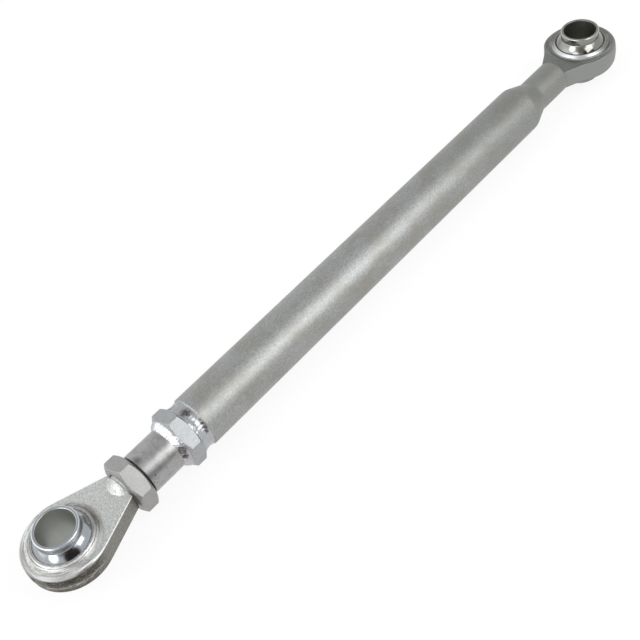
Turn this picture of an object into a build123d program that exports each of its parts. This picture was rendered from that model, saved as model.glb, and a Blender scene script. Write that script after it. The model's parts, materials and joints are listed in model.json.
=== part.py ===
from build123d import *
import math
import os

# A length-adjustable stabilizer link with a ball eye at each end, screwed fully in.
# The origin is the centre of the fixed ball. +X runs along the link to the adjustable end,
# and +Z points up along the bores of both balls. All sizes are in millimetres.

# Overall
centre_distance = 555.0
travel = 60.0
thread_engagement = 30.0

# Balls
pin_bore_d = 25.4
ball_width = 42.0
ball_d = 43.0
ball_collar_d = 30.0
ball_rim_chamfer = 0.8
ball_mouth_chamfer = 0.6

# Forged eyes
socket_clearance = 0.05
head_wall = 7.25
head_edge_radius = 3.6
lip_thickness = 21.2
lip_land = 1.6
lip_step_width = 2.1
lip_step_depth = 0.6
lip_foot_width = 1.5
plate_edge_radius = 0.8

# Fixed eye
fixed_head_thickness = 16.4
fixed_plate_thickness = 15.4
fixed_plate_inset = 1.75
fixed_root_reach = 10.05
fixed_root_inset = 0.2
spigot_d = 18.0
spigot_length = 27.0
spigot_chamfer = 1.0

# Adjustable eye
adjustable_head_thickness = 17.2
adjustable_plate_thickness = 14.0
adjustable_root_reach = 17.25
adjustable_root_margin = 0.6
shank_d = 24.0
shank_dome_setback = 2.6
shank_tip_chamfer = 2.0

# Hexagons of the lock nut and the collar
hex_chamfer_angle = 30.0
hex_face_share = 0.95
hex_flat_direction = 51.5

# Lock nut
nut_wall = 5.95
nut_thickness = 12.0
nut_gap = 0.3
thread_clearance = 0.05

# Threaded sleeve
sleeve_wall = 2.95
sleeve_gap = 1.4
sleeve_overlap = 22.0
sleeve_end_chamfer = 0.8
sleeve_mouth_chamfer = 1.2

# Hexagon collar
collar_wall = 3.95
collar_length = 11.5
collar_setback = 28.8

# Tube
tube_wall = 4.0
tube_end_chamfer = 0.8
neck_wall = 4.25
neck_length = 31.0
cone_length = 16.0
cone_blend_radius = 12.0
seat_clearance = 0.05

# Weld beads
sleeve_weld_length = 4.8
sleeve_weld_height = 3.0
sleeve_weld_crown = 0.5
tube_weld_length = 8.0
tube_weld_hollow = 0.5

# Radii worked out from the sizes above, from the ball and the thread outwards
ball_r = ball_d / 2
ball_half = ball_width / 2
ball_collar_r = ball_collar_d / 2
socket_r = ball_r + socket_clearance
head_r = ball_r + head_wall
shank_r = shank_d / 2
threaded_bore_r = shank_r + thread_clearance
nut_flat_r = threaded_bore_r + nut_wall
sleeve_r = threaded_bore_r + sleeve_wall
seat_r = sleeve_r + seat_clearance
collar_flat_r = seat_r + collar_wall
tube_r = seat_r + tube_wall
neck_bore_r = spigot_d / 2 + seat_clearance
neck_r = neck_bore_r + neck_wall

# Places along the link, from the adjustable eye back to the fixed one
fixed_root_distance = head_r + fixed_root_reach
adjustable_root_distance = head_r + adjustable_root_reach
shank_dome_distance = adjustable_root_distance + shank_dome_setback
nut_near_x = centre_distance - adjustable_root_distance - nut_gap
nut_far_x = nut_near_x - nut_thickness
sleeve_near_x = nut_far_x - sleeve_gap
collar_near_x = sleeve_near_x - collar_setback
collar_far_x = collar_near_x - collar_length
tube_near_x = collar_far_x - tube_weld_length
sleeve_far_x = tube_near_x - sleeve_overlap
shank_tip_x = sleeve_near_x - thread_engagement - travel


def spin(points, axis):
    """Turn a closed outline of straight lines once round an axis."""
    plane = Plane.XZ if axis == Axis.Z else Plane.XY
    outline = plane * make_face(Polyline(*points, close=True))
    return revolve(outline, axis)


def tube_ring(x_from, x_to, outer_r, inner_r):
    """A plain ring along the link between two places."""
    points = [(x_from, inner_r), (x_to, inner_r), (x_to, outer_r), (x_from, outer_r)]
    return spin(points, Axis.X)


def ball():
    """A steel ball with a pin bore and a short collar on each side."""
    bore_r = pin_bore_d / 2
    shoulder = math.sqrt(ball_r**2 - ball_collar_r**2)
    rim_z = ball_half - ball_rim_chamfer
    mouth_z = ball_half - ball_mouth_chamfer
    rim_x = ball_collar_r - ball_rim_chamfer
    mouth_x = bore_r + ball_mouth_chamfer
    outline = [
        Line((ball_collar_r, shoulder), (ball_collar_r, rim_z)),
        Line((ball_collar_r, rim_z), (rim_x, ball_half)),
        Line((rim_x, ball_half), (mouth_x, ball_half)),
        Line((mouth_x, ball_half), (bore_r, mouth_z)),
        Line((bore_r, mouth_z), (bore_r, -mouth_z)),
        Line((bore_r, -mouth_z), (mouth_x, -ball_half)),
        Line((mouth_x, -ball_half), (rim_x, -ball_half)),
        Line((rim_x, -ball_half), (ball_collar_r, -rim_z)),
        Line((ball_collar_r, -rim_z), (ball_collar_r, -shoulder)),
        ThreePointArc((ball_collar_r, -shoulder), (ball_r, 0), (ball_collar_r, shoulder)),
    ]
    return revolve(Plane.XZ * make_face(outline), Axis.Z)


def eye_head(head_thickness):
    """The round head of an eye, with the stepped lip that is closed over the ball."""
    lip_z = lip_thickness / 2
    head_z = head_thickness / 2
    mouth_r = math.sqrt(socket_r**2 - lip_z**2)
    land_r = mouth_r + lip_land
    step_r = land_r + lip_step_width
    foot_r = step_r + lip_foot_width
    slope = (lip_z - head_z) / (foot_r - land_r)
    step_z = lip_z - slope * (step_r - land_r)
    half = [
        (mouth_r, lip_z),
        (land_r, lip_z),
        (step_r, step_z),
        (step_r, step_z - lip_step_depth),
        (foot_r, head_z),
        (head_r, head_z),
    ]
    lower = [(r, -z) for r, z in reversed(half)]
    head = spin([(0, lip_z)] + half + lower + [(0, -lip_z)], Axis.Z)
    corners = head.edges().filter_by(GeomType.CIRCLE).group_by(SortBy.RADIUS)[-1]
    return fillet(corners, head_edge_radius)


def eye_plate(plate_r, root_distance, root_half, thickness):
    """The flat plate that narrows from the round head to the root, along +X."""
    reach = math.hypot(root_distance, root_half)
    tangent_angle = math.atan2(root_half, root_distance) + math.acos(plate_r / reach)
    tangent_x = plate_r * math.cos(tangent_angle)
    tangent_y = plate_r * math.sin(tangent_angle)
    flanks = Polyline(
        (tangent_x, tangent_y),
        (root_distance, root_half),
        (root_distance, -root_half),
        (tangent_x, -tangent_y),
        close=True,
    )
    outline = Circle(plate_r) + make_face(flanks)
    plate = extrude(outline, thickness / 2, both=True)
    rims = plate.faces().sort_by(Axis.Z)[0].edges() + plate.faces().sort_by(Axis.Z)[-1].edges()
    rims = [edge for edge in rims if edge.center().X < root_distance - plate_edge_radius]
    return fillet(rims, plate_edge_radius)


def socket():
    """The ball-shaped space inside an eye."""
    return Sphere(socket_r)


def fixed_eye():
    """The eye at the swaged end, with a spigot that fills the neck of the tube."""
    root_corner_r = neck_r - fixed_root_inset
    root_half = math.sqrt(root_corner_r**2 - (fixed_plate_thickness / 2) ** 2)
    plate = eye_plate(
        head_r - fixed_plate_inset,
        fixed_root_distance,
        root_half,
        fixed_plate_thickness,
    )
    spigot = Rot(0, 90, 0) * Cylinder(
        spigot_d / 2, spigot_length, align=(Align.CENTER, Align.CENTER, Align.MIN)
    )
    tip = spigot.edges().sort_by(Axis.X)[-1]
    spigot = Pos(fixed_root_distance, 0, 0) * chamfer(tip, spigot_chamfer)
    return eye_head(fixed_head_thickness) + plate + spigot - socket()


def adjustable_eye():
    """The eye on a threaded shank, whose domed end stands proud of the plate."""
    plate = eye_plate(
        head_r,
        adjustable_root_distance,
        shank_r + adjustable_root_margin,
        adjustable_plate_thickness,
    )
    shank_length = centre_distance - shank_dome_distance - shank_tip_x
    shank = Rot(0, 90, 0) * Cylinder(
        shank_r, shank_length, align=(Align.CENTER, Align.CENTER, Align.MIN)
    )
    tip = shank.edges().sort_by(Axis.X)[-1]
    shank = Pos(shank_dome_distance, 0, 0) * chamfer(tip, shank_tip_chamfer)
    dome = Pos(shank_dome_distance, 0, 0) * Sphere(shank_r)
    eye = eye_head(adjustable_head_thickness) + plate + dome + shank - socket()
    return Pos(centre_distance, 0, 0) * Rot(0, 0, 180) * eye


def hexagon(flat_r, length, x_from, bore_r):
    """A hexagon along the link, chamfered at both faces, with one flat turned as in use."""
    corner_r = 2 * flat_r / math.sqrt(3)
    face_r = hex_face_share * flat_r
    chamfer_depth = (corner_r - face_r) * math.tan(math.radians(hex_chamfer_angle))
    prism = extrude(RegularPolygon(corner_r, 6), length)
    prism = Pos(x_from, 0, 0) * Rot(hex_flat_direction, 0, 0) * Rot(0, 90, 0) * prism
    x_to = x_from + length
    turned = [
        (x_from, 0),
        (x_from, face_r),
        (x_from + chamfer_depth, corner_r),
        (x_to - chamfer_depth, corner_r),
        (x_to, face_r),
        (x_to, 0),
    ]
    bore = tube_ring(x_from, x_to, bore_r, 0)
    return (prism & spin(turned, Axis.X)) - bore


def lock_nut():
    """The thin nut that is tightened against the sleeve to hold the length."""
    return hexagon(nut_flat_r, nut_thickness, nut_far_x, threaded_bore_r)


def hex_collar():
    """The hexagon welded round the sleeve, where a spanner holds the tube."""
    return hexagon(collar_flat_r, collar_length, collar_far_x, seat_r)


def threaded_sleeve():
    """The sleeve that carries the thread and is set into the tube."""
    points = [
        (sleeve_far_x, threaded_bore_r),
        (sleeve_near_x - sleeve_mouth_chamfer, threaded_bore_r),
        (sleeve_near_x, threaded_bore_r + sleeve_mouth_chamfer),
        (sleeve_near_x, sleeve_r - sleeve_end_chamfer),
        (sleeve_near_x - sleeve_end_chamfer, sleeve_r),
        (sleeve_far_x, sleeve_r),
    ]
    return spin(points, Axis.X)


def tube():
    """The tube, drawn down at its fixed end to a neck that grips the spigot."""
    cone_from = fixed_root_distance + neck_length
    cone_to = cone_from + cone_length
    outside = FilletPolyline(
        (fixed_root_distance, neck_r),
        (cone_from, neck_r),
        (cone_to, tube_r),
        (tube_near_x - tube_end_chamfer, tube_r),
        radius=cone_blend_radius,
    )
    inside = FilletPolyline(
        (tube_near_x, seat_r),
        (cone_to, seat_r),
        (cone_from, neck_bore_r),
        (fixed_root_distance, neck_bore_r),
        radius=cone_blend_radius,
    )
    near_end = Polyline(outside @ 1, (tube_near_x, tube_r - tube_end_chamfer), inside @ 0)
    far_end = Line(inside @ 1, outside @ 0)
    return revolve(make_face([outside, near_end, inside, far_end]), Axis.X)


def sleeve_weld():
    """The fillet bead between the sleeve and the near face of the collar."""
    toe = (collar_near_x + sleeve_weld_length, seat_r)
    top = (collar_near_x, seat_r + sleeve_weld_height)
    slant = math.hypot(sleeve_weld_length, sleeve_weld_height)
    crown = (
        (toe[0] + top[0]) / 2 + sleeve_weld_crown * sleeve_weld_height / slant,
        (toe[1] + top[1]) / 2 + sleeve_weld_crown * sleeve_weld_length / slant,
    )
    outline = [
        ThreePointArc(toe, crown, top),
        Line(top, (collar_near_x, seat_r)),
        Line((collar_near_x, seat_r), toe),
    ]
    return revolve(make_face(outline), Axis.X)


def tube_weld():
    """The bead that fills the space between the collar and the end of the tube."""
    outer_r = tube_r - tube_end_chamfer
    middle_x = (tube_near_x + collar_far_x) / 2
    collar_edge_r = hex_face_share * collar_flat_r
    waist_r = (outer_r + collar_edge_r) / 2 - tube_weld_hollow
    outline = [
        Line((tube_near_x, seat_r), (tube_near_x, outer_r)),
        ThreePointArc((tube_near_x, outer_r), (middle_x, waist_r), (collar_far_x, collar_edge_r)),
        Line((collar_far_x, collar_edge_r), (collar_far_x, seat_r)),
        Line((collar_far_x, seat_r), (tube_near_x, seat_r)),
    ]
    return revolve(make_face(outline), Axis.X)


nodes = {
    "fixed_ball": ball(),
    "fixed_eye": fixed_eye(),
    "tube": tube(),
    "tube_weld": tube_weld(),
    "hex_collar": hex_collar(),
    "sleeve_weld": sleeve_weld(),
    "threaded_sleeve": threaded_sleeve(),
    "lock_nut": lock_nut(),
    "adjustable_eye": adjustable_eye(),
    "adjustable_ball": Pos(centre_distance, 0, 0) * ball(),
}

os.makedirs("parts", exist_ok=True)
for name, solid in nodes.items():
    export_step(solid, f"parts/{name}.step")
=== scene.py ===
import json
from math import acos, asin, atan2, cos, hypot, pi, radians, sin, sqrt, tan
from types import SimpleNamespace

import bmesh
import bpy
from bpy.props import FloatProperty, FloatVectorProperty, PointerProperty
from bpy.types import Operator, Panel, PropertyGroup
from mathutils import Matrix, Vector, noise


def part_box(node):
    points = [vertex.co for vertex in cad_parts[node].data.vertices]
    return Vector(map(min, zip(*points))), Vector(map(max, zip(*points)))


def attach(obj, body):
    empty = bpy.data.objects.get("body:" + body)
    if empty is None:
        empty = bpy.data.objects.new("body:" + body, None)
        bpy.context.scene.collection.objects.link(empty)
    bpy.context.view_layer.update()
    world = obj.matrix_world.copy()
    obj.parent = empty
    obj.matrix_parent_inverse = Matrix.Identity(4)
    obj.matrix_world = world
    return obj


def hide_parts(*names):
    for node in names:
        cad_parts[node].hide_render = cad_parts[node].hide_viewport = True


bl_info = {
    "name": "Stabilizer Link",
    "version": (1, 0, 0),
    "blender": (4, 5, 0),
    "location": "3D View > Sidebar > Link",
    "description": "Builds the look of a length-adjustable stabilizer link",
    "category": "Add Mesh",
}

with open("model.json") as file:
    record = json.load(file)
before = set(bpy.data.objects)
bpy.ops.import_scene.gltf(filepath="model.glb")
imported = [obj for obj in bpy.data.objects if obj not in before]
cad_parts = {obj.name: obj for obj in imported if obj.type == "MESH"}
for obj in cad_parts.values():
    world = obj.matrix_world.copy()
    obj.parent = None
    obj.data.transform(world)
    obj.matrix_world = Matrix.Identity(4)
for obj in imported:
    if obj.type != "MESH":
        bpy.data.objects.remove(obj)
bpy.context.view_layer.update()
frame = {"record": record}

# Lengths are in metres, but those that shape a pattern of a finish are in millimetres.
MM = 0.001
CLEARANCE = 0.05 * MM
AXIS_GAP = 0.1 * MM
FULL_TURN = 2 * pi

# Steps in a full turn, and its sectors, of which only one is spun
FINE_STEPS = 360
HEXAGON_STEPS = 240
BEAD_STEPS = 420
SHANK_STEPS = 192
SPIGOT_STEPS = 96
THREAD_STEPS = 64
SECTORS = 12

# Steps along an outline
LONG_STEPS = 26
BEAD_FACE_STEPS = 14
ROUND_STEPS = 8
DOME_STEPS = 6

# The fixed eye's plate and spigot
FIXED_ROOT_HALF = 10.6 * MM
FIXED_PLATE_INSET = 1.75 * MM
FIXED_PLATE_HALF = 7.7 * MM
FIXED_PLATE_ROUND = 0.8 * MM
SPIGOT_RADIUS = 9 * MM

# Places and radii read from the frame
ball_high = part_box("fixed_ball")[1]
fixed_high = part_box("fixed_eye")[1]
eye_low, eye_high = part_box("adjustable_eye")
tube_low, tube_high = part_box("tube")
sleeve_low, sleeve_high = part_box("threaded_sleeve")
collar_low, collar_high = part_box("hex_collar")
nut_low, nut_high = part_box("lock_nut")
sleeve_weld_low, sleeve_weld_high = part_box("sleeve_weld")
tube_weld_low, tube_weld_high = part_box("tube_weld")
mount_places = {m["name"]: Vector(m["pos_m"]) for m in frame["record"]["mounts"]}
mount_radius = frame["record"]["mounts"][0]["dims"]["r_mm"] * MM
fixed_centre = mount_places["fixed_eye_bore"]
eye_centre = mount_places["adjustable_eye_bore"]
LIP_HALF = fixed_high.z
HEAD_RADIUS = fixed_high.y
BALL_RADIUS = ball_high.x
BALL_HALF = ball_high.z
SHANK_RADIUS = eye_high.z
SLEEVE_RADIUS = sleeve_high.z
TUBE_RADIUS = tube_high.z
BEAD_INNER = SLEEVE_RADIUS - 0.3 * MM
FLOOR_HEIGHT = collar_low.z
MIDDLE = Vector((0.28, 0, 0))


def setting(kind, **settings):
    """A maker of settings of one kind, each with its name, description and default."""

    def make(name, description, default):
        return kind(name=name, description=description, default=default, **settings)

    return make


amount = setting(FloatProperty)
length = setting(FloatProperty, subtype="DISTANCE", unit="LENGTH", precision=5)
point = setting(FloatVectorProperty, subtype="TRANSLATION", unit="LENGTH")
colour = setting(FloatVectorProperty, subtype="COLOR", size=3, min=0, max=1)


def size(name, description, millimetres):
    """A length given in millimetres."""
    return length(name, description, millimetres * MM)


class BallSettings(PropertyGroup):
    collar_radius: size("Collar radius", "Radius of the collars beside the ball", 15)
    rim_round: size("Rim rounding", "Rounding of the collar's outer rim", 0.8)
    mouth_round: size("Mouth rounding", "Rounding where the bore opens", 0.7)
    shoulder_round: size("Shoulder rounding", "Hollow between the collar and the ball", 1.1)
    steel: colour("Steel", "Polished plated steel", (0.395, 0.415, 0.435))
    bore: colour("Bore", "Dull steel inside the bore", (0.46, 0.475, 0.44))
    # The fixed ball's steel and bore are darker copies of the other ball's.
    darker_steel: colour("Darker steel", "The darker steel of the fixed ball", (0.27, 0.27, 0.25))
    darker_bore: colour("Darker bore", "The darker bore of the fixed ball", (0.18, 0.185, 0.16))


class EyeSettings(PropertyGroup):
    head_half: size("Head half", "Half the thickness of the round head", 8.6)
    edge_round: size("Edge rounding", "Rounding of the head's rim", 3.6)
    plate_half: size("Plate half", "Half the thickness of the plate", 7)
    plate_radius: size("Plate radius", "Radius that the plate's flanks touch", 28.75)
    plate_round: size("Plate rounding", "Rounding along the plate's flanks", 1.1)
    root_distance: size("Root distance", "From the ball's centre to the end of the plate", 46)
    root_half: size("Root half", "Half the width of the plate at its end", 12.6)
    dome_distance: size("Dome distance", "From the ball's centre to the dome's centre", 48.6)
    dome_fillet: size("Dome fillet", "Softness where the dome meets the plate", 0.9)
    land: size("Lip land", "Width of the flat top of the lip", 1.6)
    step_radius: size("Step radius", "Radius of the lip's pressed step", 22.46)
    step_depth: size("Step depth", "Depth of the lip's pressed step", 0.7)
    foot_radius: size("Foot radius", "Radius where the lip meets the head", 24.6)
    barrel: size("Barrel", "How far the side wall bulges", 0.3)
    flash: size("Flash", "Height of the parting line on the side wall", 0.25)
    grain: size("Grain", "Height of the grain of the forging", 0.035)


class ThreadSettings(PropertyGroup):
    pitch: size("Pitch", "Length from one turn to the next", 3)
    depth: size("Depth", "Depth of the thread", 1.62)
    runout: size("Run-out", "Length over which the thread fades out", 2.5)
    plain_distance: size("Plain distance", "From the ball's centre to the end of the thread", 55)


class HexagonSettings(PropertyGroup):
    nut_flats: size("Nut across flats", "Width between two flats of the nut", 36)
    collar_flats: size("Collar across flats", "Width between two flats of the collar", 38)
    face_share: amount("Face share", "Radius of the faces as a share of the flats'", 0.95)
    chamfer_angle: amount("Chamfer angle", "Slope of the chamfers in degrees", 30)
    direction: amount("Direction", "Angle from +Y to the middle of a flat in degrees", 51.5)
    edge_round: size("Edge rounding", "Rounding of every edge", 0.28)


class WeldSettings(PropertyGroup):
    ripple: size("Ripple", "Length from one ripple to the next", 2.6)
    ripple_height: size("Ripple height", "Height of the ripples", 0.05)
    wander: size("Wander", "How far a bead's toe wanders", 0.9)
    lumps: size("Lumps", "Height of the lumps on a bead", 0.35)
    climb: size("Climb", "How far the beads climb the collar's chamfers", 0.9)


class TubeSettings(PropertyGroup):
    end_chamfer: size("End chamfer", "Chamfer at the welded end of the tube", 0.8)
    neck_radius: size("Neck radius", "Radius of the drawn-down neck", 13.3)
    neck_length: size("Neck length", "Length of the neck", 31)
    cone_length: size("Cone length", "Length over which the tube narrows", 16)
    cone_blend: size("Cone blend", "Radius where the cone begins and ends", 12)
    sleeve_chamfer: size("Sleeve chamfer", "Chamfer at the sleeve's open end", 0.8)


class StageSettings(PropertyGroup):
    lens: amount("Lens", "Focal length on a 36 mm wide sensor", 56.84)
    place: point("Camera place", "Where the camera stands", (0.60918, 0.38719, 0.51008))
    aim: point("Camera aim", "The point that the camera looks at", (0.33643, 0.01132, 0))
    roll: amount("Camera roll", "Turn of the camera about its axis in degrees", -16.041)
    floor: colour("Floor", "Pale floor", (0.92, 0.92, 0.92))


class LinkSettings(PropertyGroup):
    ball: PointerProperty(type=BallSettings)
    eye: PointerProperty(type=EyeSettings)
    thread: PointerProperty(type=ThreadSettings)
    hexagon: PointerProperty(type=HexagonSettings)
    weld: PointerProperty(type=WeldSettings)
    tube: PointerProperty(type=TubeSettings)
    stage: PointerProperty(type=StageSettings)


def smooth(low, high, value):
    """0 below low, 1 above high, and a smooth rise between them."""
    share = min(max((value - low) / (high - low), 0), 1)
    return share * share * (3 - 2 * share)


def mix(first, second, share):
    """The value that lies at a share of the way from first to second."""
    return first + (second - first) * share


def shares(steps):
    """The shares from 0 to 1 that cut a stretch into equal steps."""
    return [step / steps for step in range(steps + 1)]


def smooth_max(first, second, width):
    """The larger of two values, with a rounded crossing."""
    share = min(max(0.5 + 0.5 * (first - second) / width, 0), 1)
    return mix(second, first, share) + width * share * (1 - share)


def rounded(corners, segments=4):
    """The points of a closed outline of round corners (x, y, radius)."""
    points = []
    for index, (x, y, radius) in enumerate(corners):
        here = Vector((x, y))
        if not radius:
            points.append(here)
            continue
        back = (Vector(corners[index - 1][:2]) - here).normalized()
        onward = (Vector(corners[(index + 1) % len(corners)][:2]) - here).normalized()
        half = back.angle(onward) / 2
        centre = here + (back + onward).normalized() * radius / sin(half)
        start = here + back * radius / tan(half) - centre
        end = here + onward * radius / tan(half) - centre
        points += [centre + radius * start.slerp(end, share) for share in shares(segments)]
    return points


def outwards(bm):
    """The bmesh itself, with its faces turned outwards."""
    bmesh.ops.recalc_face_normals(bm, faces=bm.faces)
    return bm


def turned(points, axis, centre=(0, 0, 0), steps=FINE_STEPS):
    """A bmesh of a closed outline of (along, out) points, turned once round the X or Z axis."""
    bm = bmesh.new()
    verts = []
    for along, out in points:
        place = Vector((along, out, 0)) if axis == "X" else Vector((out, 0, along))
        verts.append(bm.verts.new(Vector(centre) + place))
    edges = [bm.edges.new(pair) for pair in zip(verts, verts[1:] + verts[:1])]
    pole = (1, 0, 0) if axis == "X" else (0, 0, 1)
    sector = FULL_TURN / SECTORS
    bmesh.ops.spin(
        bm, geom=verts + edges, cent=centre, axis=pole, angle=sector, steps=steps // SECTORS
    )
    return copy_round(bm, centre, pole, FULL_TURN - sector, SECTORS - 1)


def copy_round(bm, centre, pole, angle, steps, shift=(0, 0, 0)):
    """Copy the whole bmesh in equal steps round a pole or along a shift, and join the copies."""
    geometry = bm.verts[:] + bm.edges[:] + bm.faces[:]
    how = {"cent": centre, "axis": pole, "dvec": shift, "angle": angle, "steps": steps}
    bmesh.ops.spin(bm, geom=geometry, use_duplicate=True, **how)
    bmesh.ops.remove_doubles(bm, verts=bm.verts, dist=0.002 * MM)
    return outwards(bm)


def soften(bm, width, sharper_than):
    """Round every edge that is sharper than an angle in degrees."""
    limit = radians(sharper_than)
    edges = [edge for edge in bm.edges if edge.calc_face_angle(0) > limit]
    how = {"offset_type": "OFFSET", "affect": "EDGES", "profile": 0.5, "material": -1}
    bmesh.ops.bevel(bm, geom=edges, offset=width, segments=2, clamp_overlap=True, **how)


def in_scene(name, data):
    """A new object in the scene that holds a mesh, a lamp or a camera."""
    holder = bpy.data.objects.new(name, data)
    bpy.context.scene.collection.objects.link(holder)
    return holder


def as_object(name, bm, sharper_than=40):
    """A smooth-shaded object from a bmesh, with its sharp edges marked."""
    limit = radians(sharper_than)
    for face in bm.faces:
        face.smooth = True
    for edge in bm.edges:
        edge.smooth = edge.calc_face_angle(0) < limit
    mesh = bpy.data.meshes.new(name)
    bm.to_mesh(mesh)
    bm.free()
    return in_scene(name, mesh)


def united(name, first, second):
    """One closed object from two that overlap. Both of them are used up."""
    cut = first.modifiers.new("Union", "BOOLEAN")
    cut.operation = "UNION"
    cut.solver = "MANIFOLD"
    cut.object = second
    graph = bpy.context.evaluated_depsgraph_get()
    mesh = bpy.data.meshes.new_from_object(first.evaluated_get(graph))
    for used in (first, second):
        bpy.data.objects.remove(used)
    mesh.name = name
    return in_scene(name, mesh)


def finish_piece(piece, body, slot, material, *nodes):
    """Give a piece its material and its body, and hide the nodes it stands for. The slot is not
    used.
    """
    piece.data.materials.clear()
    piece.data.materials.append(material)
    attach(piece, body)
    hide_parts(*nodes)


def both_ways(operation):
    """A method for a sum or product of two values, and its reflected form."""

    def forward(self, other):
        return self.maths(operation, self, other)

    def reflected(self, other):
        return self.maths(operation, other, self)

    return forward, reflected


class Wire:
    """A shader socket that can be used in sums and products."""

    def __init__(self, tree, socket):
        self.tree = tree
        self.socket = socket

    def maths(self, operation, *values):
        return self.tree.add("ShaderNodeMath", {"operation": operation}, dict(enumerate(values)))

    __add__, __radd__ = both_ways("ADD")
    __sub__, __rsub__ = both_ways("SUBTRACT")
    __mul__, __rmul__ = both_ways("MULTIPLY")

    def __abs__(self):
        return self.maths("ABSOLUTE", self)

    def root(self):
        return self.maths("SQRT", self)

    def larger(self, other):
        return self.maths("MAXIMUM", self, other)

    def rise(self, low, high):
        """0 below low, 1 above high, and a smooth rise between them."""
        settings = {"interpolation_type": "SMOOTHSTEP"}
        values = {"Value": self, "From Min": low, "From Max": high}
        return self.tree.add("ShaderNodeMapRange", settings, values, "Result")

    def past(self, low, high):
        """The same rise between two lengths in millimetres."""
        return self.rise(low * MM, high * MM)

    def band(self, low, full, fade, end):
        """1 from full to fade and 0 outside low and end, which are lengths in millimetres."""
        return self.past(low, full) * (1 - self.past(fade, end))


class Nodes:
    """A node tree whose nodes are added one by one."""

    def __init__(self, tree):
        self.nodes = tree.nodes
        self.links = tree.links

    def feed(self, socket, value):
        """Link a wire to a socket, or set the socket's own value."""
        if isinstance(value, Wire):
            self.links.new(value.socket, socket)
        elif socket.type == "RGBA" and len(value) == 3:
            socket.default_value = (*value, 1)
        else:
            socket.default_value = value

    def add(self, kind, settings, values, output=0):
        """Add a node with its settings and the values or links of its sockets."""
        node = self.nodes.new(kind)
        for key, value in settings.items():
            setattr(node, key, value)
        for key, value in values.items():
            self.feed(node.inputs[key], value)
        return Wire(self, node.outputs[output])

    def parts(self, vector):
        """The three numbers of a vector."""
        node = self.nodes.new("ShaderNodeSeparateXYZ")
        self.feed(node.inputs[0], vector)
        return [Wire(self, socket) for socket in node.outputs]

    def blend(self, share, first, second):
        """Mix two colours."""
        settings = {"data_type": "RGBA", "clamp_factor": True}
        return self.add("ShaderNodeMix", settings, {0: share, 6: first, 7: second}, 2)


class Finish(Nodes):
    """A material of one shader, with patterns fixed to the object and a shade laid on in coats."""

    def __init__(self, name, metallic=1):
        self.material = bpy.data.materials.new(name)
        self.material.use_nodes = True
        super().__init__(self.material.node_tree)
        self.shader = self.nodes["Principled BSDF"]
        self.shader.inputs["Metallic"].default_value = metallic
        self.place = self.add("ShaderNodeTexCoord", {}, {}, "Object")
        self.x, self.y, self.z = self.parts(self.place)
        self.facing_z = self.parts(self.add("ShaderNodeTexCoord", {}, {}, "Normal"))[2]
        self.centre = Vector()
        self.shade = None

    def coat(self, share, tone):
        """Lay a tone over the shade."""
        self.shade = self.blend(share, self.shade, tone)

    def stretched(self, scale, turn=(0, 0, 0)):
        """The place on the object, stretched and turned."""
        values = {"Vector": self.place, "Scale": scale, "Rotation": turn}
        return self.add("ShaderNodeMapping", {}, values)

    def noise(self, grain, detail=3, rough=0.5, twist=0, place=None):
        """Noise between 0 and 1 whose spots are about one grain across, in millimetres."""
        values = {
            "Vector": place or self.place,
            "Scale": 1 / (grain * MM),
            "Detail": detail,
            "Roughness": rough,
            "Distortion": twist,
        }
        return self.add("ShaderNodeTexNoise", {}, values)

    def cells(self, grain):
        """The distance to the nearest of many points, scattered about one grain apart."""
        values = {"Vector": self.place, "Scale": 1 / (grain * MM)}
        return self.add("ShaderNodeTexVoronoi", {}, values)

    def mottled(self, tones, clouded, grain, cloud, share=0.4, low=0.4, high=0.7, detail=3):
        """Start the shade with two tones in a grain, under clouds of a third. Returns the grain."""
        speck = self.noise(grain, detail, 0.65)
        self.shade = self.blend(speck.rise(0.3, 0.7), *tones)
        self.coat(share * self.noise(cloud, 4, 0.6).rise(low, high), clouded)
        return speck

    def ringed(self, reach, gap, where, dark, pale, pale_share):
        """Lay uneven rings round a centre over the shade. Returns their height."""
        place = self.add("ShaderNodeCombineXYZ", {}, {0: reach, 1: 0.05 * self.x, 2: 0.05 * self.y})
        rings = self.noise(gap, 3, 0.65, place=place)
        self.coat(0.9 * where * rings.rise(0.5, 0.6), dark)
        self.coat(pale_share * where * (1 - rings.rise(0.36, 0.46)), pale)
        return 2 * rings * where

    def around(self, centre):
        """The distance from an upright line through a centre, which on_side then uses too."""
        self.centre = centre
        along = self.x - centre.x
        across = self.y - centre.y
        return (along * along + across * across).root()

    def on_side(self, angle, low, high):
        """0 to 1 across the centre, rising towards an angle from +X between two lengths."""
        turn = radians(angle)
        along = (self.x - self.centre.x) * cos(turn) + (self.y - self.centre.y) * sin(turn)
        return along.past(low, high)

    def mark(self, x, out, angle, core, edge, wobble=0):
        """1 near a place on the link's side, at an angle from +Y. Only x is in metres."""
        turn = radians(angle)
        spot = Vector((x, out * MM * cos(turn), out * MM * sin(turn)))
        values = {0: self.place, 1: spot}
        away = self.add("ShaderNodeVectorMath", {"operation": "DISTANCE"}, values, "Value")
        if wobble:
            away = away + wobble * MM * (self.noise(1.6, 3, 0.7) - 0.5)
        return 1 - away.past(core, edge)

    def bump(self, height, distance, strength=1):
        """Feed a height to the shader's normal."""
        values = {"Height": height, "Distance": distance, "Strength": strength}
        self.feed(self.shader.inputs["Normal"], self.add("ShaderNodeBump", {}, values))

    def done(self, roughness):
        """Feed the shade and the roughness to the shader, and return the material."""
        self.feed(self.shader.inputs["Base Color"], self.shade)
        self.feed(self.shader.inputs["Roughness"], roughness)
        return self.material


def toned(tone, strength):
    """A tone made darker or paler, but not past white."""
    return [min(strength * part, 1) for part in tone]


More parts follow.
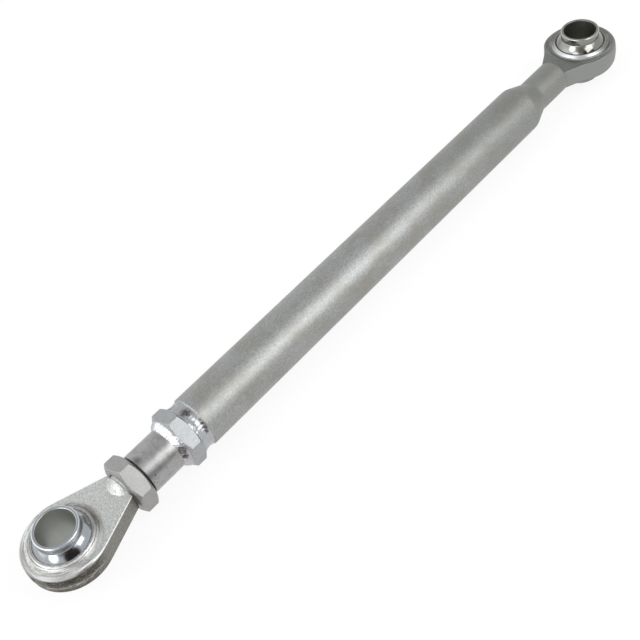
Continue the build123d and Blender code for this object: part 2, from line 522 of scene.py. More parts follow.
def ball_steel(name, centre, steel, bore_tone):
    """Polished plated steel with a painted glint on its rim, duller inside the bore and painted
    darker deeper down as shade.
    """
    look = Finish(name)
    reach = look.around(centre)
    inside = 1 - reach.rise(mount_radius + 0.1 * MM, mount_radius + 0.5 * MM)
    cloud = look.noise(9, 4)
    lines = look.noise(0.25, 2, place=look.stretched((0.02, 0.02, 1)))
    # Painted shade: the bore is painted darker towards its bottom.
    depth = look.z.rise(-0.8 * BALL_HALF, 0.9 * BALL_HALF)
    bore = look.blend(0.35 + 0.65 * depth, toned(bore_tone, 0.42), bore_tone)
    bore = look.blend(0.5 * cloud, bore, toned(bore_tone, 1.2))
    look.shade = look.blend(0.4 * cloud, steel, toned(steel, 0.75))
    look.coat(inside, bore)
    # Painted glint: a thin paler band on the collar's outer rim.
    rim = reach.band(14.1, 14.4, 14.9, 15.1) * abs(look.z).rise(0.95 * BALL_HALF, 0.98 * BALL_HALF)
    look.coat(0.7 * rim, toned(steel, 1.9))
    look.bump(lines, 0.004 * MM, 0.6)
    polish = 0.09 + 0.07 * cloud + 0.04 * lines
    return look.done(polish + inside * (0.45 - polish))


def bright_forging(name, settings):
    """Bright zinc on a forging, with rings about its ball, a dark scaly wall, and painted light and
    shade on its rim, lip and wall.
    """
    look = Finish(name)
    reach = look.around(eye_centre)
    front = look.x.rise(eye_centre.x - 14 * MM, eye_centre.x + 2 * MM)
    wall = (1 - abs(look.facing_z).rise(0.25, 0.62)) * reach.past(24, 25)
    top = 1 - wall
    grain = look.noise(0.85, 3, 0.65)
    fine = look.noise(0.25, 2, 0.6)
    cloud = look.noise(7, 4, 0.55)
    look.shade = look.blend(grain.rise(0.32, 0.7), (0.4, 0.405, 0.39), (0.77, 0.775, 0.755))
    look.coat(0.5 * cloud.rise(0.35, 0.7), (0.6, 0.6, 0.59))
    # Painted highlight: the rim is painted paler on the front side.
    rim = reach.past(24.5, 26.2) * front * top
    look.coat(0.35 * rim, (0.8, 0.8, 0.78))
    where = reach.past(20.2, 21) * top * (0.35 + 0.65 * front)
    where = where * (1 - reach.past(25, 26) * (1 - front))
    rings = look.ringed(reach, 0.75, where, (0.29, 0.275, 0.255), (0.85, 0.86, 0.87), 0.8)
    # Painted shade: the outer rim is painted darker towards the front, and made rougher there.
    outer = look.on_side(10, 8, 22) * reach.past(24.5, 26)
    look.coat(0.65 * outer * top, (0.34, 0.34, 0.33))
    specks = (1 - look.cells(1.5).rise(0.1, 0.3)) * fine.rise(0.45, 0.6)
    look.coat(0.45 * specks * top, (0.34, 0.3, 0.27))
    # Painted shade, in a brownish tone: the slope beside the lip that faces the plate, away from
    # the light.
    hollow = reach.band(20.3, 21, 22.5, 26) * look.on_side(205, 4, 19)
    look.coat(0.8 * (hollow * cloud.rise(0.2, 0.6)), (0.2, 0.175, 0.145))
    # Painted shade in the gap between the ball and the lip, fainter on the lit side.
    mouth = reach.band(19, 19.5, 20.2, 21) * (1 - 0.8 * look.on_side(60, 0, 16))
    look.coat(0.6 * mouth, (0.2, 0.19, 0.185))
    side = look.blend(grain.rise(0.3, 0.7), (0.19, 0.185, 0.165), (0.34, 0.33, 0.305))
    # Painted shade: the wall is painted darker on its +Y side and towards the top.
    darker = look.on_side(82, 4, 24) * (0.3 + 0.7 * look.z.past(-1, 3))
    side = look.blend(0.75 * darker * front, side, (0.085, 0.075, 0.06))
    scale = look.noise(3.4, 5, 0.7, 0.4, look.stretched((0.5, 0.5, 2)))
    side = look.blend(0.9 * (scale.rise(0.44, 0.6) * front), side, (0.06, 0.053, 0.042))
    side = look.blend(0.6 * (grain.rise(0.56, 0.68) * front), side, (0.5, 0.49, 0.46))
    streak = look.noise(1.6, 3, 0.6, 0.3, look.stretched((0.4, 0.4, 3)))
    seam = 1 - abs(look.z + 0.6 * MM).past(0.5, 1.6)
    side = look.blend(front * seam * streak.rise(0.46, 0.62), side, (0.56, 0.55, 0.52))
    look.coat(wall, side)
    look.bump(grain + 0.4 * fine + scale * wall * front + rings, settings.grain)
    return look.done(0.4 + 0.12 * grain + 0.12 * wall + 0.12 * outer)


def dull_forging(name):
    """Matte grey zinc on the fixed eye, with a painted highlight on its lip and painted shade at
    its mouth.
    """
    look = Finish(name)
    reach = look.around(fixed_centre)
    tones = (0.185, 0.19, 0.175), (0.265, 0.27, 0.255)
    grain = look.mottled(tones, (0.24, 0.24, 0.225), 0.9, 8, share=0.5, low=0.35)
    wall = (1 - abs(look.facing_z).rise(0.3, 0.8)) * reach.past(24, 25)
    look.coat(0.6 * wall, (0.36, 0.37, 0.36))
    where = reach.band(20, 21, 26, 28)
    rings = look.ringed(reach, 0.8, where, (0.1, 0.1, 0.09), (0.42, 0.43, 0.42), 0.6)
    # Painted highlight on the lip, stronger on one side; the lip is also made smoother.
    lip = reach.band(19.4, 20, 22.2, 23.2)
    lip_highlight = lip * (0.15 + 0.85 * look.on_side(15, 2, 16))
    look.coat(0.65 * lip_highlight, (0.66, 0.67, 0.67))
    # Painted shade in the gap between the ball and the lip.
    look.coat(0.7 * reach.band(18.4, 18.8, 19.3, 20), (0.08, 0.07, 0.06))
    look.bump(grain + rings, 0.03 * MM)
    return look.done(0.5 + 0.1 * grain - 0.18 * lip_highlight)


def tube_zinc(name):
    """Matte mottled zinc on drawn tube, a little duller towards the neck."""
    look = Finish(name)
    grain = look.noise(1, 4, 0.7)
    cloud = look.noise(14, 5, 0.6, 0.3, look.stretched((0.6, 1, 1)))
    spots = look.noise(3.2, 3, 0.6)
    drawn = look.noise(1.4, 3, 0.5, 0, look.stretched((0.02, 1, 1)))
    look.shade = look.blend(grain.rise(0.34, 0.66), (0.28, 0.287, 0.28), (0.44, 0.447, 0.44))
    look.coat(0.7 * cloud.rise(0.38, 0.66), (0.3, 0.288, 0.26))
    look.coat(0.35 * spots.rise(0.5, 0.7), (0.45, 0.45, 0.44))
    look.coat(0.5 * (1 - look.x.past(60, 260)), (0.22, 0.225, 0.205))
    look.bump(grain + 0.8 * drawn, 0.02 * MM)
    return look.done(0.42 + 0.1 * grain + 0.06 * drawn)


def sleeve_zinc(name):
    """Turned and plated steel with a satin shine and a few marks of weld spatter."""
    look = Finish(name)
    lines = look.noise(0.3, 2, 0.6, 0, look.stretched((1, 0.05, 0.05)))
    tones = (0.33, 0.33, 0.33), (0.42, 0.42, 0.43)
    grain = look.mottled(tones, (0.28, 0.26, 0.225), 0.9, 5, 0.6, 0.42, 0.65, detail=4)
    end = sleeve_high.x
    radius = SLEEVE_RADIUS / MM
    smudge = look.mark(end - 2 * MM, radius, 84, 0, 4.5, 4)
    look.coat(0.7 * smudge, (0.1, 0.09, 0.08))
    for back, angle, wide in ((4.3, 26, 0.8), (1.3, 14, 0.7), (2.6, 19, 0.5), (6, 128, 0.6)):
        spatter = look.mark(end - back * MM, radius, angle, 0.2, wide)
        look.coat(0.85 * spatter, (0.05, 0.05, 0.06))
    look.bump(lines + grain, 0.012 * MM)
    return look.done(0.27 + 0.1 * grain + 0.06 * lines)


def nut_zinc(name):
    """Satin plated nut."""
    look = Finish(name)
    tones = (0.31, 0.305, 0.3), (0.42, 0.415, 0.41)
    grain = look.mottled(tones, (0.33, 0.32, 0.305), 0.8, 6)
    look.bump(grain, 0.015 * MM)
    return look.done(0.44 + 0.12 * grain)


def collar_zinc(name):
    """Plated hexagon steel, scratched by spanners, with a dark spot."""
    look = Finish(name)
    tones = (0.33, 0.34, 0.345), (0.45, 0.46, 0.465)
    grain = look.mottled(tones, (0.32, 0.33, 0.33), 0.8, 5)
    scratch = look.noise(0.7, 3, 0.7, 0.5, look.stretched((0.12, 1, 1), (0.5, 0.3, 0.9)))
    look.coat(0.6 * scratch.rise(0.6, 0.72), (0.62, 0.63, 0.62))
    spot = look.mark(collar_low.x + 2.5 * MM, 19.5, 13, 0.3, 0.9)
    look.coat(0.85 * spot, (0.05, 0.05, 0.05))
    look.bump(grain + scratch, 0.03 * MM)
    return look.done(0.43 + 0.14 * grain)


def weld_metal(name, low_x, tones, burns, painted_highlights=(), dull=0):
    """Plated weld metal with burnt places and painted highlights (beyond low_x, out, angle, size).
    """
    look = Finish(name)
    cloud = look.noise(7, 2, 0.5, 0.8)
    pits = look.noise(1, 3, 0.7, 0.4)
    burnt = 0.7 * cloud.rise(0.64, 0.72)
    for along, out, angle, wide in burns:
        burnt = burnt.larger(look.mark(low_x + along * MM, out, angle, 0.3 * wide, wide, 5))
    look.shade = look.blend(pits.rise(0.3, 0.7), *tones)
    broken = look.noise(1.8, 4, 0.7, 1, look.stretched((0.6, 1, 1)))
    # Painted highlights: pale patches broken up by noise.
    for along, out, angle, wide in painted_highlights:
        shine = look.mark(low_x + along * MM, out, angle, 0.5 * wide, wide, 5)
        shine = shine * (0.15 + 0.85 * broken.rise(0.42, 0.54))
        look.coat(shine, (0.9, 0.9, 0.94))
    if dull:
        plain = (look.z - look.y).past(8, 17).larger(1 - look.z.past(-9, -2))
        look.coat(dull * plain, (0.36, 0.37, 0.37))
    soot = look.blend(pits.rise(0.38, 0.62), (0.03, 0.025, 0.03), (0.26, 0.235, 0.24))
    look.coat(burnt, soot)
    look.bump(pits + 0.6 * cloud, 0.03 * MM)
    return look.done(0.24 + 0.12 * pits + 0.22 * burnt)


def ball_outline(settings):
    """The outline of a ball, from its middle over one collar and back through the bore."""
    collar = settings.collar_radius
    shoulder = sqrt(BALL_RADIUS**2 - collar**2)
    slope = asin(shoulder / BALL_RADIUS)
    angles = [slope * share for share in shares(LONG_STEPS)[:-1]]
    upper = [(BALL_RADIUS * sin(angle), BALL_RADIUS * cos(angle), 0) for angle in angles]
    upper += [
        (shoulder, collar, settings.shoulder_round),
        (BALL_HALF, collar, settings.rim_round),
        (BALL_HALF, mount_radius, settings.mouth_round),
    ]
    lower = [(-along, out, round_) for along, out, round_ in reversed(upper[1:])]
    return rounded(upper + lower, 6)


def eye_outline_radius(angle, shape):
    """How far an eye's outline is from the ball's centre, and how slanted it is there."""
    plate = shape.plate_radius
    reach = hypot(shape.root_distance, shape.root_half)
    touch = atan2(shape.root_half, shape.root_distance) + acos(plate / reach)
    turn = abs(angle)
    lean = max(touch - turn, 0)
    steepest = 1.4
    crossing = 0.8 * MM
    flank = plate / cos(min(lean, steepest))
    radius = smooth_max(flank, HEAD_RADIUS, crossing) if plate < HEAD_RADIUS else flank
    slant = lean if flank > HEAD_RADIUS * 0.999 else 0
    end = shape.root_distance / cos(turn) if turn < pi / 3 else radius
    return (end, turn) if end < radius else (radius, slant)


def head_outline(settings):
    """The upper outline of an eye's head as (height, radius) points, and the ends of its flat."""
    socket = BALL_RADIUS + CLEARANCE
    mouth = sqrt(socket**2 - LIP_HALF**2)
    land = mouth + settings.land
    step = settings.step_radius
    foot = settings.foot_radius
    head = settings.head_half
    edge = settings.edge_round
    slope = (LIP_HALF - head) / (foot - land)
    step_top = LIP_HALF - slope * (step - land)
    step_low = step_top - settings.step_depth
    groove_depth = 0.45 * MM
    groove_round = 0.15 * MM
    groove_place = land + 0.35 * (step - land)
    groove_top = LIP_HALF - slope * (groove_place - land)
    corners = [
        (0, socket, 0),
        (0.5 * LIP_HALF, sqrt(socket**2 - (0.5 * LIP_HALF) ** 2), 0),
        (LIP_HALF, mouth, 0.25 * MM),
        (LIP_HALF, land, 0.4 * MM),
        (groove_top - 0.1 * MM, groove_place - 0.1 * MM, groove_round),
        (groove_top - groove_depth, groove_place + 0.25 * MM, groove_round),
        (groove_top - 0.05 * MM, groove_place + 0.7 * MM, groove_round),
        (step_top, step, 0.3 * MM),
        (step_low, step + 0.35 * MM, 0.3 * MM),
        (head, foot, 0),
    ]
    points = [tuple(place) for place in rounded(corners, 3)]
    flat_end = HEAD_RADIUS - edge
    flat_from = points[-1][1]
    points += [(head, mix(flat_from, flat_end, share)) for share in shares(LONG_STEPS)[1:]]
    for share in shares(ROUND_STEPS)[1:]:
        angle = pi / 2 * share
        drop = edge * (1 - cos(angle))
        points.append((head - drop, flat_end + edge * sin(angle)))
    wall_shares = 0.75, 0.5, 0.3, 0.16, 0.1, 0.05, 0
    points += [((head - edge) * share, HEAD_RADIUS) for share in wall_shares]
    return points, flat_from, flat_end


def eye_body(centre, facing, shape, settings, dome_radius=0):
    """The head and plate of an eye as a closed bmesh. Its shank points along facing, 1 or -1."""
    upper, flat_from, flat_end = head_outline(settings)
    lower = [(-along, out) for along, out in reversed(upper[1:-1])]
    bm = turned(upper + lower, "Z", centre)
    edge = settings.edge_round
    head = settings.head_half
    for vert in bm.verts:
        local = vert.co - centre
        side = 1 if local.z >= 0 else -1
        out = hypot(local.x, local.y)
        angle = atan2(local.y, local.x * facing)
        height = abs(local.z)
        outline, slant = eye_outline_radius(angle, shape)
        tip = smooth(radians(55), radians(105), abs(angle))
        outline -= settings.flash + settings.barrel * tip
        top = mix(shape.plate_half, head, tip)
        round_ = mix(shape.plate_round, edge, tip)
        if out <= flat_from:
            if height > head and out > BALL_RADIUS * 0.8:
                height = top + (height - head) * (LIP_HALF - top) / (LIP_HALF - head)
            elif height > 0.9 * head and out > BALL_RADIUS:
                height = top
        else:
            inner = min(out, flat_end)
            rim = outline - round_ / cos(slant)
            share = (inner - flat_from) / (flat_end - flat_from)
            new_out = mix(flat_from, rim, share)
            if out > flat_end:
                new_out += (out - flat_end) * round_ / edge / cos(slant)
            if height >= head - edge:
                height = top - (head - height) * round_ / edge
            else:
                height = height * (top - round_) / (head - edge)
                new_out += settings.barrel * tip * (1 - (height / (top - round_)) ** 2)
                ripple = 0.5 + 0.5 * noise.noise(Vector((cos(angle), sin(angle), 0)) * 6)
                new_out += settings.flash * ripple * (1 - smooth(0.3 * MM, 0.9 * MM, height))
            out = new_out
        x = out * cos(angle)
        y = out * sin(angle)
        if dome_radius and out > flat_from:
            square = dome_radius**2 - (x - settings.dome_distance) ** 2 - y**2
            if square > 0:
                height *= smooth_max(sqrt(square), top, settings.dome_fillet) / top
        vert.co = centre + Vector((x * facing, y, side * height))
    return outwards(bm)


def polar(vert):
    """A point's distance from the link's axis and its angle from +Y."""
    return hypot(vert.co.y, vert.co.z), atan2(vert.co.z, vert.co.y)


def widen(vert, factor):
    """Multiply a point's distance from the link's axis."""
    vert.co.y *= factor
    vert.co.z *= factor


def threaded_shank(settings):
    """The shank of the adjustable eye, with a real screw thread."""
    root = SHANK_RADIUS - settings.depth
    pitch = settings.pitch
    crest = SHANK_RADIUS - 0.02 * MM
    flank = 5 / 16 * pitch
    half_root = pitch / 8
    half_crest = pitch / 16
    overlap = 1 * MM
    start_x = eye_low.x
    end_x = eye_centre.x - settings.plain_distance + overlap
    bm = bmesh.new()
    line = [(0, root), (half_root, root), (half_root + flank, crest)]
    line += [(half_root + flank + 2 * half_crest, crest), (pitch - half_root, root), (pitch, root)]
    verts = [bm.verts.new((start_x - 2 * pitch + along, out, 0)) for along, out in line]
    edges = [bm.edges.new(pair) for pair in zip(verts, verts[1:])]
    spare_turns = 4
    turns = int((end_x - start_x) / pitch) + spare_turns
    how = {"cent": (0, 0, 0), "axis": (1, 0, 0), "angle": FULL_TURN, "steps": THREAD_STEPS}
    bmesh.ops.spin(bm, geom=verts + edges, dvec=(pitch / THREAD_STEPS, 0, 0), **how)
    copy_round(bm, (0, 0, 0), (1, 0, 0), 0, turns, (pitch, 0, 0))
    for plane_x, keep in ((start_x, -1), (end_x, 1)):
        geometry = bm.verts[:] + bm.edges[:] + bm.faces[:]
        plane = {"plane_co": (plane_x, 0, 0), "plane_no": (keep, 0, 0)}
        bmesh.ops.bisect_plane(bm, geom=geometry, clear_outer=True, **plane)
    bmesh.ops.holes_fill(bm, edges=[edge for edge in bm.edges if edge.is_boundary])
    for vert in bm.verts:
        out = polar(vert)[0]
        if out < root * 0.9:
            continue
        tip_limit = root - 0.4 * MM + (vert.co.x - start_x)
        fade = smooth(end_x - settings.runout, end_x, vert.co.x)
        wanted = min(mix(out, root - CLEARANCE, fade), max(tip_limit, 0.8 * root))
        widen(vert, wanted / out)
    return outwards(bm)


def shank_neck(settings, eye):
    """The plain part of the shank between the dome and the thread."""
    radius = SHANK_RADIUS - CLEARANCE
    root = SHANK_RADIUS - settings.depth
    overlap = 0.6 * MM
    dome_x = eye_centre.x - eye.dome_distance
    front_x = eye_centre.x - eye.root_distance + overlap
    points = [(front_x, AXIS_GAP)]
    first = asin((front_x - dome_x) / radius)
    for share in shares(DOME_STEPS):
        angle = first * (1 - share)
        points.append((dome_x + radius * sin(angle), radius * cos(angle)))
    end_x = eye_centre.x - settings.plain_distance
    points += [(end_x + SHANK_RADIUS - root, radius), (end_x, root), (end_x, AXIS_GAP)]
    return turned(points, "X", steps=SHANK_STEPS)


def hexagon(name, low, high, across_flats, inner_radius, settings):
    """A chamfered hexagon ring round a part of the link that has the inner radius."""
    low_x, high_x = low.x, high.x
    bore = inner_radius + CLEARANCE
    flat = across_flats / 2
    corner = flat / cos(pi / 6)
    face = settings.face_share * flat
    slope = tan(radians(settings.chamfer_angle))
    depth = (corner - face) * slope
    mouth = 0.9 * MM
    points = [(low_x, bore + mouth), (low_x, face), (low_x + depth, corner)]
    points += [(high_x - depth, corner), (high_x, face), (high_x, bore + mouth)]
    points += [(high_x - mouth, bore), (low_x + mouth, bore)]
    bm = turned(points, "X", steps=HEXAGON_STEPS)
    sector = pi / 3
    first = radians(settings.direction)
    middle_x = (low_x + high_x) / 2
    for vert in bm.verts:
        out, angle = polar(vert)
        if out < corner - 0.01 * MM:
            continue
        turn = (angle - first + sector / 2) % sector - sector / 2
        radius = flat / cos(turn)
        inset = (radius - face) * slope
        vert.co.x = low_x + inset if vert.co.x < middle_x else high_x - inset
        widen(vert, radius / out)
    flat_within = radians(0.5)
    bmesh.ops.dissolve_limit(bm, angle_limit=flat_within, verts=bm.verts, edges=bm.edges)
    soften(bm, settings.edge_round, 18)
    piece = as_object(name, bm, 50)
    even_shading = piece.modifiers.new("Even shading", "WEIGHTED_NORMAL")
    even_shading.keep_sharp = True
    even_shading.weight = 100
    return piece


def tube_outline(settings):
    """The outline of the tube with its drawn-down neck, inside and out."""
    neck = settings.neck_radius
    cone_from = tube_low.x + settings.neck_length
    cone_to = cone_from + settings.cone_length
    chamfer = settings.end_chamfer
    inside = SLEEVE_RADIUS + CLEARANCE
    spigot = SPIGOT_RADIUS + CLEARANCE
    blend = settings.cone_blend
    corners = [
        (tube_low.x, neck, 0.5 * MM),
        (cone_from, neck, blend),
        (cone_to, TUBE_RADIUS, blend),
        (tube_high.x - chamfer, TUBE_RADIUS, 0.2 * MM),
        (tube_high.x, TUBE_RADIUS - chamfer, 0),
        (tube_high.x, inside, 0),
        (cone_to, inside, blend),
        (cone_from, spigot, blend),
        (tube_low.x, spigot, 0),
    ]
    return rounded(corners, 10)


def weld_bead(points, grows, settings, seed):
    """An uneven weld bead round the link. grows(x, out) is a point's share of the unevenness."""
    bm = turned(points, "X", steps=BEAD_STEPS)
    ripple_lag = 0.8 * MM
    lump_grain = 5 * MM
    for vert in bm.verts:
        out, angle = polar(vert)
        share = grows(vert.co.x, out)
        if share <= 0:
            continue
        lag = ripple_lag * sin(share * pi)
        ripple = sin((angle * out + lag) / settings.ripple * FULL_TURN)
        where = vert.co / lump_grain + Vector((seed, 0, 0))
        lump = noise.noise(where) + 0.3 * noise.noise(where * 2.7)
        rise = settings.ripple_height * ripple + settings.lumps * lump
        widen(vert, (out + share * rise) / out)
        toe = noise.noise(Vector((cos(angle), sin(angle), seed)) * 2.3)
        vert.co.x += share * settings.wander * toe
    return outwards(bm)


def bead_face(start, end, bulge):
    """Points of a bead's face between two (along, out) points, raised most in the middle."""
    points = []
    for share in shares(BEAD_FACE_STEPS):
        out = mix(start[1], end[1], share) + bulge * sin(share * pi)
        points.append((mix(start[0], end[0], share), out))
    return points


def sleeve_bead(settings):
    """The bulging bead that runs from the collar down to the sleeve."""
    inner, low = BEAD_INNER, sleeve_weld_low.x
    back = low - 1 * MM
    top = sleeve_weld_high.z - 0.3 * MM + settings.climb
    toe = sleeve_weld_high.x - 0.2 * MM
    face = bead_face((low + 0.1 * MM, top), (toe, inner), 0.45 * MM)

    def grows(x, out):
        free = smooth(back, low + 0.3 * MM, x)
        return free * smooth(inner + 0.1 * MM, inner + 1.2 * MM, out)

    return weld_bead([(back, inner), (back, top - 0.3 * MM)] + face, grows, settings, seed=3.1)


def tube_bead(settings):
    """The slightly hollow bead that runs from the tube up to the collar."""
    overlap = 0.4 * MM
    inner, low, high = BEAD_INNER, tube_weld_low.x, tube_weld_high.x
    from_out = TUBE_RADIUS - 0.9 * MM
    to_out = tube_weld_high.z - 0.4 * MM + settings.climb
    points = [(low - overlap, inner), (low - overlap, from_out)]
    points += bead_face((low, from_out), (high, to_out), -0.7 * MM)[1:-1]
    points += [(high + overlap, to_out), (high + overlap, inner)]

    def grows(x, out):
        near_end = smooth(low - 0.1 * MM, low + 0.8 * MM, x)
        far_end = 1 - smooth(high - 0.6 * MM, high + 0.1 * MM, x)
        return near_end * far_end * smooth(inner + 0.5 * MM, inner + 1.5 * MM, out)

    return weld_bead(points, grows, settings, seed=8.4)


class LINK_OT_balls(Operator):
    """Build the two polished balls"""

    bl_idname = "link.balls"
    bl_label = "Balls"

    def execute(self, context):
        settings = context.scene.link.ball
        outline = ball_outline(settings)
        for node, body, centre, steel, bore in (
            ("fixed_ball", "fixed_end_ball", fixed_centre, settings.darker_steel, settings.darker_bore),
            ("adjustable_ball", "adjustable_end_ball", eye_centre, settings.steel, settings.bore),
        ):
            piece = as_object(f"{node}_steel", turned(outline, "Z", centre), 30)
            material = ball_steel(f"{node}_polish", centre, steel, bore)
            finish_piece(piece, body, "ball_steel", material, node)
        return {"FINISHED"}


class LINK_OT_fixed_eye(Operator):
    """Build the forged eye at the drawn-down end"""

    bl_idname = "link.fixed_eye"
    bl_label = "Fixed eye"

    def execute(self, context):
        settings = context.scene.link.eye
        shape = SimpleNamespace(
            root_distance=tube_low.x,
            root_half=FIXED_ROOT_HALF,
            plate_radius=HEAD_RADIUS - FIXED_PLATE_INSET,
            plate_half=FIXED_PLATE_HALF,
            plate_round=FIXED_PLATE_ROUND,
        )
        body = as_object("eye_blank", eye_body(fixed_centre, 1, shape, settings))
        start_x, end_x = tube_low.x - 1 * MM, fixed_high.x
        spigot = [(start_x, AXIS_GAP, 0), (start_x, SPIGOT_RADIUS, 0)]
        spigot += [(end_x, SPIGOT_RADIUS, 1 * MM), (end_x, AXIS_GAP, 0)]
        stub = as_object("spigot_blank", turned(rounded(spigot), "X", steps=SPIGOT_STEPS))
        piece = united("fixed_eye_forging", body, stub)
        finish_piece(piece, "tube_assembly", "dull_forging", dull_forging("dull_zinc"), "fixed_eye")
        return {"FINISHED"}


class LINK_OT_adjustable_eye(Operator):
    """Build the forged eye with its dome and threaded shank"""

    bl_idname = "link.adjustable_eye"
    bl_label = "Adjustable eye"

    def execute(self, context):
        settings = context.scene.link.eye
        body = eye_body(eye_centre, -1, settings, settings, dome_radius=SHANK_RADIUS)
        thread = context.scene.link.thread
        neck = as_object("neck_blank", shank_neck(thread, settings))
        domed = united("domed_eye", as_object("eye_blank", body), neck)
        shank = as_object("shank_blank", threaded_shank(thread))
        piece = united("adjustable_eye_forging", domed, shank)
        material = bright_forging("bright_zinc", settings)
        finish_piece(piece, "adjustable_end", "bright_forging", material, "adjustable_eye")
        return {"FINISHED"}


class LINK_OT_hexagons(Operator):
    """Build the lock nut and the welded hexagon collar"""

    bl_idname = "link.hexagons"
    bl_label = "Hexagons"

    def execute(self, context):
        settings = context.scene.link.hexagon
        flats = settings.nut_flats
        piece = hexagon("lock_nut_hexagon", nut_low, nut_high, flats, SHANK_RADIUS, settings)
        finish_piece(piece, "locking_nut", "nut_zinc", nut_zinc("satin_zinc"), "lock_nut")
        flats = settings.collar_flats
        piece = hexagon("collar_hexagon", collar_low, collar_high, flats, SLEEVE_RADIUS, settings)
        material = collar_zinc("spanner_zinc")
        finish_piece(piece, "tube_assembly", "hexagon_zinc", material, "hex_collar")
        return {"FINISHED"}


class LINK_OT_tube(Operator):
    """Build the tube and the threaded sleeve in its end"""

    bl_idname = "link.tube"
    bl_label = "Tube and sleeve"

    def execute(self, context):
        settings = context.scene.link.tube
        piece = as_object("drawn_tube", turned(tube_outline(settings), "X"), 30)
        finish_piece(piece, "tube_assembly", "tube_zinc", tube_zinc("mottled_zinc"), "tube")
        bore = SHANK_RADIUS + CLEARANCE
        mouth = 1.2 * MM
        low_x, high_x = sleeve_low.x, sleeve_high.x
        sleeve = [
            (low_x, bore, 0),
            (high_x - mouth, bore, 0),
            (high_x, bore + mouth, 0.2 * MM),
            (high_x, SLEEVE_RADIUS, settings.sleeve_chamfer),
            (low_x, SLEEVE_RADIUS, 0.3 * MM),
        ]
        piece = as_object("turned_sleeve", turned(rounded(sleeve), "X"), 30)
        material = sleeve_zinc("turned_zinc")
        finish_piece(piece, "tube_assembly", "sleeve_zinc", material, "threaded_sleeve")
        return {"FINISHED"}


class LINK_OT_welds(Operator):
    """Build the two weld beads beside the collar"""

    bl_idname = "link.welds"
    bl_label = "Weld beads"

    def execute(self, context):
        settings = context.scene.link.weld
        piece = as_object("sleeve_bead", sleeve_bead(settings), 60)
        tones = (0.36, 0.355, 0.37), (0.54, 0.54, 0.56)
        burns = (2.5, 17, 28, 5), (3, 16.5, 12, 3.5)
        # A painted highlight on the top of the sleeve bead.
        painted_highlights = [(3, 17, 88, 14)]
        material = weld_metal("sleeve_bead_metal", sleeve_weld_low.x, tones, burns, painted_highlights)
        finish_piece(piece, "tube_assembly", "weld_metal", material, "sleeve_weld")
        piece = as_object("tube_bead", tube_bead(settings), 60)
        tones = (0.34, 0.35, 0.365), (0.5, 0.51, 0.53)
        burns = (4, 18, 80, 4.5), (2, 18, 22, 2)
        material = weld_metal("tube_bead_metal", tube_weld_low.x, tones, burns, dull=0.4)
        finish_piece(piece, "tube_assembly", "weld_metal", material, "tube_weld")
        return {"FINISHED"}


class LINK_OT_stage(Operator):
    """Set up the floor, the light and the camera"""

    bl_idname = "link.stage"
    bl_label = "Stage"

    def execute(self, context):
        scene = context.scene
        settings = scene.link.stage
        scene.view_settings.view_transform = "Standard"
        make_floor(settings)
        make_world(scene)
        make_lamp()
        make_camera(scene, settings)
        return {"FINISHED"}


def make_floor(settings):
    """A wide pale floor that keeps a faint shadow."""
    bm = bmesh.new()
    bmesh.ops.create_grid(bm, x_segments=1, y_segments=1, size=6)
    bmesh.ops.translate(bm, verts=bm.verts, vec=(MIDDLE.x, 0, FLOOR_HEIGHT))
    floor = as_object("floor", bm)
    look = Finish("pale_floor", metallic=0)
    look.shade = settings.floor
    floor.data.materials.append(look.done(0.9))
    kinds = "Is Camera Ray", "Is Glossy Ray", "Is Transmission Ray"
    direct, glossy, through = [look.add("ShaderNodeLightPath", {}, {}, kind) for kind in kinds]
    seen = direct.larger(glossy).larger(through)
    glow = look.add("ShaderNodeEmission", {}, {"Color": (1, 1, 1), "Strength": 1})
    body = Wire(look, look.shader.outputs["BSDF"])
    both = look.add("ShaderNodeMixShader", {}, {0: seen * 0.88, 1: body, 2: glow})
    look.feed(look.nodes["Material Output"].inputs["Surface"], both)


def heading(azimuth, elevation):
    """The direction at an azimuth from +X and an elevation, both in degrees."""
    turn, rise = radians(azimuth), radians(elevation)
    return Vector((cos(turn) * cos(rise), sin(turn) * cos(rise), sin(rise)))


def make_world(scene):
    """A pale tent with soft lights and two dark patches."""
    world = bpy.data.worlds.new("studio")
    world.use_nodes = True
    scene.world = world
    sky = Nodes(world.node_tree)
    direction = sky.add("ShaderNodeTexCoord", {}, {}, "Generated")
    height = sky.parts(direction)[2]

    def patch(azimuth, elevation, core, edge):
        """1 inside a round patch of sky and 0 outside it."""
        values = {0: direction, 1: heading(azimuth, elevation)}
        near = sky.add("ShaderNodeVectorMath", {"operation": "DOT_PRODUCT"}, values, "Value")
        return near.rise(cos(radians(edge)), cos(radians(core)))

    light = 0.92 - 0.22 * height.rise(0.35, 0.9)
    for strength, *place in (
        (3.8, -10, 40, 8, 17),
        (3, 13, 17, 9, 18),
        (0.6, -50, 32, 10, 45),
        (2, 112, 50, 8, 24),
        (0.5, -31, 12, 8, 26),
    ):
        light = light + strength * patch(*place)
    tint = sky.add("ShaderNodeCombineColor", {}, {0: light * 0.985, 1: light, 2: light * 1.01})
    shade = sky.blend(0.7 * patch(42, 38, 8, 18), tint, (0.2, 0.19, 0.18))
    shade = sky.blend(patch(74, 15, 20, 32), shade, (0.045, 0.032, 0.03))
    sky.feed(sky.nodes["Background"].inputs["Color"], shade)


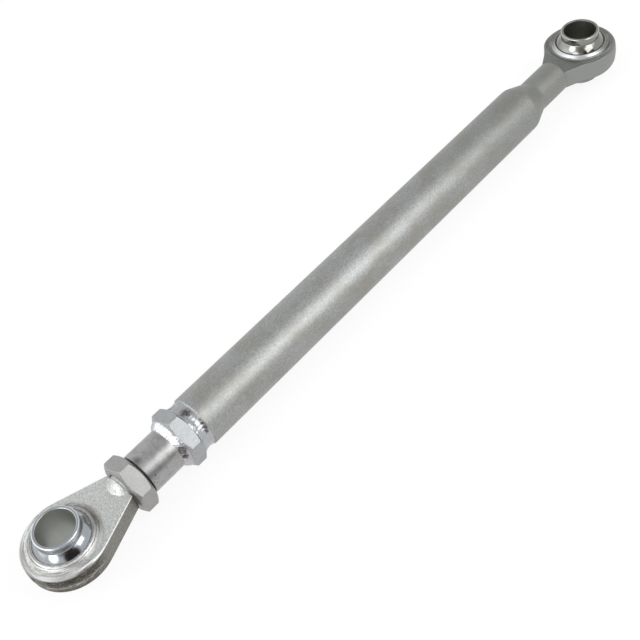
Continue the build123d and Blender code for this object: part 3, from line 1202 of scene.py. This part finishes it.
def make_lamp():
    """A soft lamp beside the camera, aimed at the middle of the link."""
    lamp = bpy.data.lights.new("window", "AREA")
    lamp.shape = "RECTANGLE"
    lamp.size = 0.43
    lamp.size_y = 0.32
    lamp.energy = 1.5
    holder = in_scene("window", lamp)
    holder.location = (0.1, 0.6, 0.45)
    holder.rotation_euler = (MIDDLE - holder.location).to_track_quat("-Z", "Y").to_euler()
    holder.visible_camera = False


def make_camera(scene, settings):
    """The camera at the photograph's place and angle."""
    camera = bpy.data.cameras.new("photo_camera")
    camera.lens = settings.lens
    camera.sensor_width = 36
    camera.clip_start = 0.01
    place = Vector(settings.place)
    forward = (Vector(settings.aim) - place).normalized()
    level = forward.cross(Vector((0, 0, 1))).normalized()
    above = level.cross(forward)
    roll = radians(settings.roll)
    right = cos(roll) * level + sin(roll) * above
    up = right.cross(forward)
    turn = Matrix((right, up, -forward)).transposed().to_4x4()
    holder = in_scene("photo_camera", camera)
    holder.matrix_world = Matrix.Translation(place) @ turn
    scene.camera = holder


PIECES = LINK_OT_balls, LINK_OT_fixed_eye, LINK_OT_adjustable_eye, LINK_OT_hexagons, LINK_OT_tube
OPERATORS = PIECES + (LINK_OT_welds, LINK_OT_stage)


class LINK_PT_panel(Panel):
    """The steps that build the link"""

    bl_idname = "LINK_PT_panel"
    bl_label = "Stabilizer Link"
    bl_space_type = "VIEW_3D"
    bl_region_type = "UI"
    bl_category = "Link"

    def draw(self, context):
        for step in OPERATORS:
            self.layout.operator(step.bl_idname)


SETTINGS = BallSettings, EyeSettings, ThreadSettings, HexagonSettings, WeldSettings, TubeSettings
CLASSES = SETTINGS + (StageSettings, LinkSettings) + OPERATORS + (LINK_PT_panel,)


def register():
    for each in CLASSES:
        bpy.utils.register_class(each)
    bpy.types.Scene.link = PointerProperty(type=LinkSettings)


def unregister():
    del bpy.types.Scene.link
    for each in reversed(CLASSES):
        bpy.utils.unregister_class(each)


def main():
    """Build every piece in order."""
    register()
    bpy.ops.link.stage()
    bpy.ops.link.balls()
    bpy.ops.link.fixed_eye()
    bpy.ops.link.adjustable_eye()
    bpy.ops.link.hexagons()
    bpy.ops.link.tube()
    bpy.ops.link.welds()


if __name__ == "__main__":
    main()
